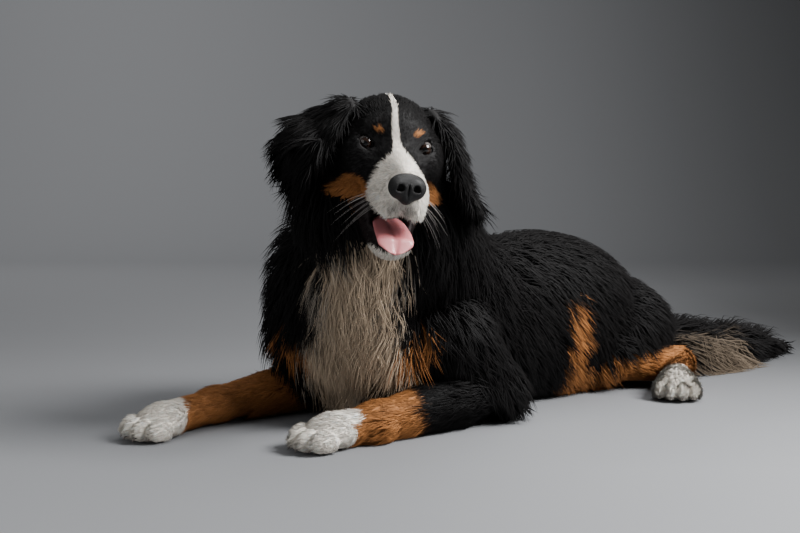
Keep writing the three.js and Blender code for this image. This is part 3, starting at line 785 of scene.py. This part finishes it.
def scatter(o):
    """Random roots on the skin, with their normals, the map's coordinates and the part each is on."""
    mesh = o.data
    mesh.calc_loop_triangles()
    n = len(mesh.loop_triangles)
    tri = np.empty(n * 3, np.int32)
    loops = np.empty(n * 3, np.int32)
    mesh.loop_triangles.foreach_get("vertices", tri)
    mesh.loop_triangles.foreach_get("loops", loops)
    tri, loops = tri.reshape(-1, 3), loops.reshape(-1, 3)
    uv = np.empty(len(mesh.loops) * 2, np.float32)
    mesh.uv_layers["OFBake"].data.foreach_get("uv", uv)
    uv = uv.reshape(-1, 2)
    normal = np.empty(len(mesh.vertices) * 3, np.float32)
    mesh.vertices.foreach_get("normal", normal)
    corners = ((vertices(o) + SHIFT) / MM)[tri]
    middle = corners.mean(1)
    area = np.linalg.norm(np.cross(corners[:, 1] - corners[:, 0], corners[:, 2] - corners[:, 0]), axis=-1) / 2
    part = np.argmin(np.stack([f(middle) for f, _ in PARTS.values()], -1), axis=-1)
    share = np.where(bare(middle), 0, coat_value(part, "share"))
    face = np.repeat(np.arange(n), rng.poisson(area / 100 * share))
    r1, r2 = np.sqrt(rng.random(len(face))), rng.random(len(face))
    w = np.stack([1 - r1, r1 * (1 - r2), r1 * r2], -1)
    root = np.einsum("ij,ijk->ik", w, corners[face])
    place = np.einsum("ij,ijk->ik", w, uv[loops[face]].astype(float))
    normal = unit(np.einsum("ij,ijk->ik", w, normal.reshape(-1, 3)[tri[face]].astype(float)))
    return root, normal, place, part[face]


def coat_shape(root, normal, kind, part):
    """Length, depth, width, wave and stretches of each tuft, and whether it is in the tail's fringe."""
    length, depth, width, wave = (coat_value(part, k) for k in ("length", "depth", "width", "wave"))
    bends = coat_value(part, "bends").astype(int)
    # The face's coat grows longer from the muzzle to the cheeks and the nape
    face = (kind == "skull") | (kind == "jaw")
    back = ramp(to_head(root)[:, 1], -30, 70)
    length = np.where(face, 8 + 22 * back, length)
    depth = np.where(face, 3 + 4 * back, depth)
    width = np.where(face, 1.5 + 1.4 * back, width)
    wave = np.where(face, 0.3 + 2 * back, wave)
    bends = np.where(face & (length > 13), 2, bends)
    # Feathering behind the forelegs
    for leg in FORE.values():
        axis = np.array(leg["wrist"], float) - leg["elbow"]
        t = (root - leg["elbow"]) @ axis / (axis @ axis)
        behind = (kind == "forearm") & (t < 0.7) & (normal[:, 2] < 0.3) & (normal[:, 1] > -0.5)
        length = np.where(behind, 24 + 30 * (1 - t), length)
        depth = np.where(behind, 7 + 9 * (1 - t), depth)
        bends = np.where(behind, 2, bends)
    # The hair over the shins is short
    over_shin = (kind == "thigh") & (root[:, 2] < 95)
    length = np.where(over_shin, 0.45 * length, length)
    depth = np.where(over_shin, 0.5 * depth, depth)
    # The plume of the tail grows shorter to its tip, stands up most in its middle, and has a fringe to the left
    on_tail = kind == "tail"
    plume = 1.1 - 0.65 * ramp(root[:, 1], 520, 750)
    length = np.where(on_tail, length * plume, length)
    depth = np.where(on_tail, depth * plume, depth)
    crest = on_tail & (root[:, 1] > 370) & (root[:, 1] < 680) & (normal[:, 2] > 0.2)
    depth = np.where(crest, depth + 20, depth)
    fringe = on_tail & (root[:, 1] < 505) & (normal[:, 0] > 0.05) & (normal[:, 2] < 0.45)
    length = np.where(fringe, 150 - 0.12 * (root[:, 1] - 322), length)
    depth = np.where(fringe, 0.8 * length, depth)
    # The throat's hair is shorter than the chest's
    throat = (kind == "bib") & (root[:, 2] > 285)
    depth = np.where(throat, 0.5 * depth, depth)
    length = np.where(throat, 0.6 * length, length)
    return length, depth, width, wave, bends, fringe


def comb(root, normal, place, part):
    """All that shapes and colours each tuft, as arrays with one row for each root."""
    n = len(root)
    kind = np.array(KIND)[part]
    length, depth, width, wave, bends, fringe = coat_shape(root, normal, kind, part)
    lie = lie_of(root, part)
    # Clumps share their waves and shades and draw their tips together
    centres = rng.permutation(n)[: max(1, n // 9)]
    tree = kdtree.KDTree(len(centres))
    for i, c in enumerate(centres):
        tree.insert(root[c], i)
    tree.balance()
    centre_of = centres[[tree.find(c)[1] for c in root]]
    phase = (rng.random(n) * 6.28)[centre_of] + 0.25 * rng.normal(0, 1, n)
    lean = 0.20 * rng.normal(0, 1, n)[centre_of] + 0.10 * rng.normal(0, 1, n)
    long = length > 30
    lean = np.where(long, lean, 0.5 * lean)
    tangent = unit(lie - np.sum(lie * normal, -1, keepdims=True) * normal)
    tangent = unit(tangent + np.cross(tangent, normal) * lean[:, None])
    length = length * rng.uniform(0.75, 1.15, n)
    depth = depth * rng.uniform(0.5, 1.1, n)
    spread = root[centre_of] - root
    spread -= np.sum(spread * normal, -1, keepdims=True) * normal
    spread = spread * np.minimum(1, 14 / np.maximum(np.linalg.norm(spread, axis=-1, keepdims=True), 1e-6))
    hangs = np.isin(kind, ["torso", "neck", "bib", "arm", "thigh", "tail", "ear"])
    fall = np.where(hangs, 0.16, 0.0) * length
    fall = np.where(fringe, 0.45 * length, fall)
    colour, rust = markings(root)
    # Long hair that starts at the edge of a cheek is black
    edge = np.isin(kind, ["neck", "ear", "bib"]) & (rust > 0.1) & (root[:, 2] > 300)
    colour[edge] = 0.0055
    shade = rng.uniform(0.8, 1.12, n) * rng.uniform(0.8, 1.12, n)[centre_of]
    glow = np.where(colour.sum(1) < 0.1, 0.003, 0)[:, None] * rng.random((n, 1))
    return dict(
        root=root,
        normal=normal,
        place=place,
        kind=kind,
        bends=bends,
        width=width,
        wave=wave,
        phase=phase,
        tangent=tangent,
        side=np.cross(tangent, normal),
        depth=depth,
        flat=np.sqrt(np.maximum(length ** 2 - depth ** 2, 1)),
        pull=spread * np.where(long, 0.6, 0.3)[:, None],
        fall=fall,
        colour=np.minimum(colour * shade[:, None] + glow, 0.92),
    )


THICKNESS = {1: (1.0,), 2: (0.8, 0.9), 3: (0.6, 1.0, 0.7)}
SIDES = [(math.cos(math.radians(a)), math.sin(math.radians(a))) for a in (90, 210, 330)]


def tuft_points(h, stations):
    """Closed tufts of three sides, with a normal for each point and a painted shade that is darker at the root
    and a little lighter at the tip.
    """
    count = len(h["root"])
    rings = []
    for i in range(stations + 1):
        t = i / stations
        rise = h["depth"] * math.sin(math.pi / 2 * min(1, t * 1.15)) - (1 - t)
        sway = h["wave"] * np.sin(h["phase"] + 4.2 * t) * t
        c = h["root"] + h["tangent"] * (h["flat"] * t)[:, None] + h["normal"] * rise[:, None]
        c = c + h["side"] * sway[:, None] + h["pull"] * t
        c[:, 2] -= h["fall"] * t * t
        if i > 0:
            c[:, 2] = np.maximum(c[:, 2], 1.5)
        rings.append(c)
    points, lit, painted_root_shade = [], [], []
    for i, thick in enumerate(THICKNESS[stations]):
        axis = unit(rings[i + 1] - rings[i])
        wide = unit(np.cross(axis, h["normal"]))
        high = np.cross(wide, axis)
        half = (h["width"] * thick / 2)[:, None]
        for c, s in SIDES:
            points.append(rings[i] + wide * half * c + high * half * 0.4 * s)
            lit.append(unit(h["normal"] * 0.9 + high * 0.8 * s + wide * c * 0.8))
            # Painted shade: each ring is darker the nearer it is to the root
            painted_root_shade.append(np.full(count, blend(0.78, 1.0, i / stations)))
    points.append(rings[-1])
    lit.append(unit(h["normal"] * 1.1 + h["tangent"] * 0.3))
    # The tip is painted a little lighter
    painted_root_shade.append(np.full(count, 1.06))
    points = np.stack(points, 1)
    points[:, :, 2] = np.maximum(points[:, :, 2], 0.6)
    return points, np.stack(lit, 1), np.stack(painted_root_shade, 1)


def tuft_faces(stations):
    faces = [[0, 1, 2]]
    for i in range(stations - 1):
        for j in range(3):
            low, next_low = 3 * i + j, 3 * i + (j + 1) % 3
            faces += [[low, low + 3, next_low + 3], [low, next_low + 3, next_low]]
    last = 3 * (stations - 1)
    return np.array(faces + [[last + j, last + 3, last + (j + 1) % 3] for j in range(3)])


PATCH = 0.003  # the side of a tuft's patch on the map


def coat_piece(name, hair, chosen):
    """One mesh of the chosen tufts."""
    points, lits, colours, faces, spots, base = [], [], [], [], [], 0
    for stations in THICKNESS:
        m = chosen[hair["bends"][chosen] == stations]
        if not len(m):
            continue
        each = 3 * stations + 1
        v, lit, painted_root_shade = tuft_points({key: a[m] for key, a in hair.items()}, stations)
        f = tuft_faces(stations)[None] + (base + np.arange(len(m)) * each)[:, None, None]
        corner = np.stack([np.tile([0, 1, 0.5], stations + 1)[:each], np.linspace(0, 1, each)], -1)
        points.append(v.reshape(-1, 3))
        lits.append(lit.reshape(-1, 3))
        # The tufts' colours times the painted shade along each tuft
        colours.append((hair["colour"][m][:, None] * painted_root_shade[:, :, None]).reshape(-1, 3))
        faces.append(f.reshape(-1, 3))
        spots.append((hair["place"][m][:, None] + (corner[None] - 0.5) * PATCH).reshape(-1, 2))
        base += len(m) * each
    faces = np.concatenate(faces)
    o = mesh_object(name, metres(np.concatenate(points)), faces)
    paint(o, np.concatenate(colours))
    uv = np.clip(np.concatenate(spots), 0, 1)[faces.ravel()]
    o.data.uv_layers.new(name="OFBake").data.foreach_set("uv", uv.astype(np.float32).ravel())
    o.data.normals_split_custom_set_from_vertices(np.concatenate(lits))
    o.data.materials.append(fur_material)
    return o


COAT_PIECES = {
    "coat_head": ["skull", "jaw"],
    "coat_ears": ["ear"],
    "coat_neck": ["neck"],
    "coat_bib": ["bib"],
    "coat_torso": ["torso"],
    "coat_forelegs": ["arm", "forearm", "paw"],
    "coat_hind_legs": ["thigh", "shin", "foot", "hind_paw"],
    "coat_tail": ["tail"],
}
MOST_TRIANGLES = 190000


def grow_coat(o):
    """The whole coat, in pieces that are cut across the body where one would have too many triangles."""
    hair = comb(*scatter(o))
    made = {}
    for name, kinds in COAT_PIECES.items():
        mine = np.flatnonzero(np.isin(hair["kind"], kinds))
        mine = mine[np.argsort(hair["root"][mine, 1])]
        cost = np.cumsum(6 * hair["bends"][mine] - 2)
        pieces = int(cost[-1] // MOST_TRIANGLES) + 1
        for k in range(pieces):
            chosen = mine[(cost > k * cost[-1] / pieces) & (cost <= (k + 1) * cost[-1] / pieces)]
            piece = coat_piece(name if pieces == 1 else f"{name}_{k + 1}", hair, chosen)
            made[piece.name] = piece
    print("coat triangles", sum(len(c.data.polygons) for c in made.values()))
    return made


skin = build_skin()
unwrap(skin)
coats = grow_coat(skin)


# The eyes: a brown iris round a black pupil under a clear wet surface
def build_eye(side, s):
    points = []
    rings, around = 24, 40
    for i in range(rings + 1):
        a = math.pi * i / rings
        for j in range(around):
            b = 2 * math.pi * j / around
            bulge = 1 + 0.05 * math.exp(-((a / 0.5) ** 2))
            p = [bulge * math.sin(a) * math.cos(b), -bulge * math.cos(a), math.sin(a) * math.sin(b)]
            points.append([EYE_RADIUS * v for v in p])
    p = np.array(points)
    turn = rotation("z", math.radians(6 * s - 10))
    q = p @ turn.T + EYE_AT * [s, 1, 1]
    o = mesh_object(f"eye_ball_{side}", metres(from_head(q)), tube(rings + 1, around))
    angle = np.degrees(np.arccos(np.clip(-p[:, 1] / np.linalg.norm(p, axis=-1), -1, 1)))
    iris = ramp(50 - angle, 0, 2.5)
    pupil = ramp(21 - angle, 0, 2)
    ring = ramp(angle, 36, 50)
    spoke = 0.8 + 0.4 * np.abs(np.sin(9 * np.arctan2(p[:, 2], p[:, 0])))
    white_of_eye = np.array([0.09, 0.08, 0.075])
    brown = np.array([0.016, 0.007, 0.004]) * spoke[:, None]
    colour = white_of_eye + (brown - white_of_eye) * iris[:, None]
    colour = np.maximum(colour * (1 - 0.8 * ring * iris)[:, None], 0.002) * (1 - pupil)[:, None] + 0.001
    paint(o, colour)
    m, tree, shader = material(f"eye_{side}", rough=0.06, spec=0.3, coat=0.25)
    tree.links.new(painted(tree), shader.inputs["Base Color"])
    o.data.materials.append(m)
    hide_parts(f"eye_{side}")
    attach(o, "root")


for side, s in (("left", 1), ("right", -1)):
    build_eye(side, s)


# The nose leather, with its nostrils and the groove between them
def nose_field(q):
    q = (q - [MUZZLE_ASIDE, -104, -52]) / [1.06, 1, 1.15] + [0, -104, -48]
    x = np.abs(q[..., 0])
    m = np.stack([x, q[..., 1], q[..., 2]], -1)
    d = soft_union(
        (ball(m, [0, -104, -46], [24, 15.5, 16]), 6),
        (ball(m, [12, -106, -49], [12, 12, 12]), 8),
        (ball(m, [0, -104, -60], [9, 13, 9]), 6),
    )
    nostril = ball(m, [10.5, -119, -48], [4.6, 8, 4.4])
    slit = cone(m, [13, -117, -50], [22, -108, -53], 2.2, 1.2)
    d = soft_max(d, -nostril, 2)
    d = soft_max(d, -slit, 1.5)
    groove = np.hypot(m[..., 0], np.maximum(0, np.abs(q[..., 1] + 121) - 4)) - 0.9
    return soft_max(d, -np.maximum(groove, q[..., 2] + 44), 1.2)


def build_nose():
    points, quads = surface_net(nose_field, [-26, -128, -86], [36, -84, -24], 1.2, coarse=4)
    o = mesh_object("nose_leather", metres(from_head(points)), quads)
    m, tree, shader = material("nose_leather", (0.007, 0.0065, 0.0065), rough=0.45, spec=0.3, coat=0.04)
    roughen(tree, shader, "ShaderNodeTexVoronoi", 700, "Distance", 0.55, 0.0005)
    o.data.materials.append(m)
    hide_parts("nose")
    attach(o, "root")


build_nose()


# The tongue lies in the lower jaw and hangs a little over its front
TONGUE = [
    ([0, 4, -109], 22, [0, -2, 6]),
    ([0, -30, -116], 25, [0, -2.4, 6]),
    ([0, -62, -123.5], 27, [0, -3, 7]),
    ([0, -86, -131.5], 27, [0, -3.5, 6]),
    ([0, -98, -148], 22, [0, -4, 3]),
]


def build_tongue():
    rows, around = 40, 36
    at = np.array([s[0] for s in TONGUE], float)
    half = np.array([s[1] for s in TONGUE], float)
    up = np.array([s[2] for s in TONGUE], float)
    t = np.linspace(0, 4, rows)
    k = np.arange(5)
    centre = np.stack([np.interp(t, k, at[:, i]) for i in range(3)], -1)
    for _ in range(4):
        centre[1:-1] = (centre[:-2] + centre[1:-1] * 2 + centre[2:]) / 4
    ends = np.clip((4.05 - t) / 0.7, 0, 1) * np.clip((t + 0.1) / 0.5, 0, 1)
    wide = np.interp(t, k, half) * np.sqrt(ends)
    lift = np.stack([np.interp(t, k, up[:, i]) for i in range(3)], -1)
    points = []
    for i in range(rows):
        thick = np.linalg.norm(lift[i]) * (0.35 + 0.65 * np.clip((4 - t[i]) / 1.0, 0, 1))
        n = lift[i] / np.linalg.norm(lift[i])
        for j in range(around):
            a = 2 * math.pi * j / around
            x = math.cos(a)
            z = math.sin(a)
            dip = 2.4 * math.exp(-((x / 0.16) ** 2)) * max(z, 0) - 2.2 * x * x
            points.append(centre[i] + np.array([wide[i] * x, 0, 0]) + n * (thick * z - dip))
    o = mesh_object("tongue_flesh", metres(from_head(np.array(points))), tube(rows, around))
    bm = bmesh.new()
    bm.from_mesh(o.data)
    bmesh.ops.holes_fill(bm, edges=bm.edges)
    bmesh.ops.recalc_face_normals(bm, faces=bm.faces)
    bm.to_mesh(o.data)
    bm.free()
    m, tree, shader = material("tongue_flesh", (0.60, 0.20, 0.21), rough=0.42, coat=0.25, sss=0.25)
    roughen(tree, shader, "ShaderNodeTexNoise", 900, "Fac", 0.4, 0.0005)
    o.data.materials.append(m)
    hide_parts("tongue")
    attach(o, "root")


build_tongue()


# Claws, one for each toe
def build_claws():
    points, faces = [], []
    legs = [(leg, "wrist") for leg in FORE.values()] + [(leg, "hock") for leg in HIND.values()]
    for leg, before in legs:
        turn, at = paw_frame(leg, before)
        for x, y in TOES:
            base = len(points)
            for i, t in enumerate(np.linspace(0, 1, 7)):
                r = 3.3 * (1 - t) ** 0.6 + 0.25
                c = np.array([x, y - 18 - 11 * t, 13 - 7 * t * t])
                for j in range(10):
                    a = 2 * math.pi * j / 10
                    points.append((c + [r * 0.75 * math.cos(a), 0, r * math.sin(a)]) @ turn.T + at)
            faces += tube(7, 10, base)
    o = mesh_object("claws", metres(points), faces)
    m, _, _ = material("claw", base=(0.10, 0.08, 0.07), rough=0.35, spec=0.5)
    o.data.materials.append(m)
    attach(o, "root")


build_claws()


# Whiskers: fine tapered hairs from the sides of the muzzle
def build_whiskers():
    points, faces = [], []
    for s in (1, -1):
        for i in range(11):
            row, column = divmod(i, 4)
            root = np.array([s * (34 - 2 * row), -78 + 12 * column, -66 - 8 * row], float)
            out = unit(np.array([s, 0.25 + 0.25 * rng.random(), -0.45 - 0.25 * row + 0.3 * rng.random()]))
            size = 44 + 26 * rng.random()
            base = len(points)
            for t in np.linspace(0, 1, 9):
                c = root + out * size * t + np.array([0, 0.15, -0.35]) * size * t * t
                r = 0.34 * (1 - t) + 0.06
                for a in (90, 210, 330):
                    points.append(c + [0, r * math.cos(math.radians(a)), r * math.sin(math.radians(a))])
            faces += tube(9, 3, base)
    o = mesh_object("whiskers", metres(from_head(np.array(points))), faces)
    m, _, _ = material("whisker", base=(0.35, 0.32, 0.30), rough=0.4)
    o.data.materials.append(m)
    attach(o, "root")


build_whiskers()

# The skin stands for all the flesh nodes
BARE = {"eye_left", "eye_right", "nose", "tongue"}
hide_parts(*[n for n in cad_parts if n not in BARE])
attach(skin, "root")
for name, c in coats.items():
    "coat_white" if "bib" in name else "coat_black"
    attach(c, "root")


# The camera stands off the dog's left fore side, a little lower than its eyes, and looks slightly down
CAMERA_AZIMUTH = math.radians(46)
CAMERA_PITCH = math.radians(4.04)
CAMERA_AT = np.array([1365.0, -1685.0, 390.0])
CAMERA_FORWARD = np.array([-math.sin(CAMERA_AZIMUTH), math.cos(CAMERA_AZIMUTH), 0])
CAMERA_RIGHT = np.array([math.cos(CAMERA_AZIMUTH), math.sin(CAMERA_AZIMUTH), 0])
CAMERA_DISTANCE = 2.152


def seen(right, back, up):
    """A place in metres, as seen from the camera's side."""
    return CAMERA_RIGHT * right + CAMERA_FORWARD * back + np.array([0, 0, up])


# Studio floor and backdrop, one sheet that curves up behind
def build_stage():
    curve, width, depth = 1.9, 12.0, 5.6
    flat = (-9, -3, -1.5, -1.2, -0.9, -0.6, -0.3, 0, 0.3, 0.6, 0.9, 1.4, 2.2, depth - curve)
    profile = [(y, 0.0) for y in flat]
    for i in range(1, 13):
        a = math.pi / 2 * i / 12
        profile.append((depth - curve + curve * math.sin(a), curve - curve * math.cos(a)))
    profile.append((depth, 8.0))
    columns = [-width, -4, -2.5, -2, -1.5, -1, -0.6, -0.3, 0, 0.3, 0.6, 0.9, 1.2, 1.6, 2, 2.5, 3.2, 4, width]
    across = len(columns)
    points = np.array([seen(x, y, z) for y, z in profile for x in columns])
    faces = [
        [i * across + j, i * across + j + 1, (i + 1) * across + j + 1, (i + 1) * across + j]
        for i in range(len(profile) - 1)
        for j in range(across - 1)
    ]
    o = mesh_object("floor", points, faces)
    # Painted light and shade: the floor darkens with distance and the backdrop to the right, where the studio's
    # light falls off, and near the camera the floor is lighter to the right
    grey = []
    for y, _ in profile:
        for x in columns:
            aside = x / max(y + CAMERA_DISTANCE, 0.4)
            near = 0.23 + 0.13 * np.clip(aside, -0.3, 0.3)
            on_floor = 1 - 0.82 * ramp(aside, -0.06, 0.34)
            on_wall = 1 - 0.46 * ramp(aside, 0.06, 0.36)
            far = 0.13 * blend(on_floor, on_wall, ramp(y, 1.2, 3.2))
            grey.append(blend(near, far, ramp(y, -0.9, 0.9)))
    paint(o, np.array(grey)[:, None] * [0.98, 1.0, 1.04])
    m, tree, shader = material("floor", rough=0.85, spec=0.2)
    tree.links.new(painted(tree), shader.inputs["Base Color"])
    o.data.materials.append(m)


def build_camera():
    data = bpy.data.cameras.new("camera")
    data.lens = 50
    data.sensor_width = 36
    o = bpy.data.objects.new("camera", data)
    bpy.context.scene.collection.objects.link(o)
    o.location = metres(CAMERA_AT)
    o.rotation_euler = (math.pi / 2 - CAMERA_PITCH, 0, CAMERA_AZIMUTH)
    bpy.context.scene.camera = o


def build_light(name, place, target, power, size):
    data = bpy.data.lights.new(name, "AREA")
    data.energy = power
    data.shape = "RECTANGLE"
    data.size, data.size_y = size
    o = bpy.data.objects.new(name, data)
    bpy.context.scene.collection.objects.link(o)
    o.location = place
    o.rotation_euler = (Vector(target) - Vector(place)).to_track_quat("-Z", "Y").to_euler()


build_camera()
build_stage()
build_light("key", seen(2.0, -1.1, 2.2), seen(-0.1, -0.2, 0.2), 275, (1.3, 1.3))
build_light("top", seen(0.3, 0.2, 3.0), seen(0, 0, 0.2), 55, (2.6, 2.2))
build_light("fill", seen(-2.6, -1.8, 1.6), seen(0, 0, 0.25), 22, (2.6, 2.0))
build_light("backdrop", seen(-2.6, 2.4, 3.4), seen(-1.6, 5.6, 1.4), 170, (2.5, 2.0))
world = bpy.data.worlds.new("studio")
world.use_nodes = True
world.node_tree.nodes["Background"].inputs["Color"].default_value = (0.62, 0.64, 0.67, 1)
world.node_tree.nodes["Background"].inputs["Strength"].default_value = 0.24
bpy.context.scene.world = world
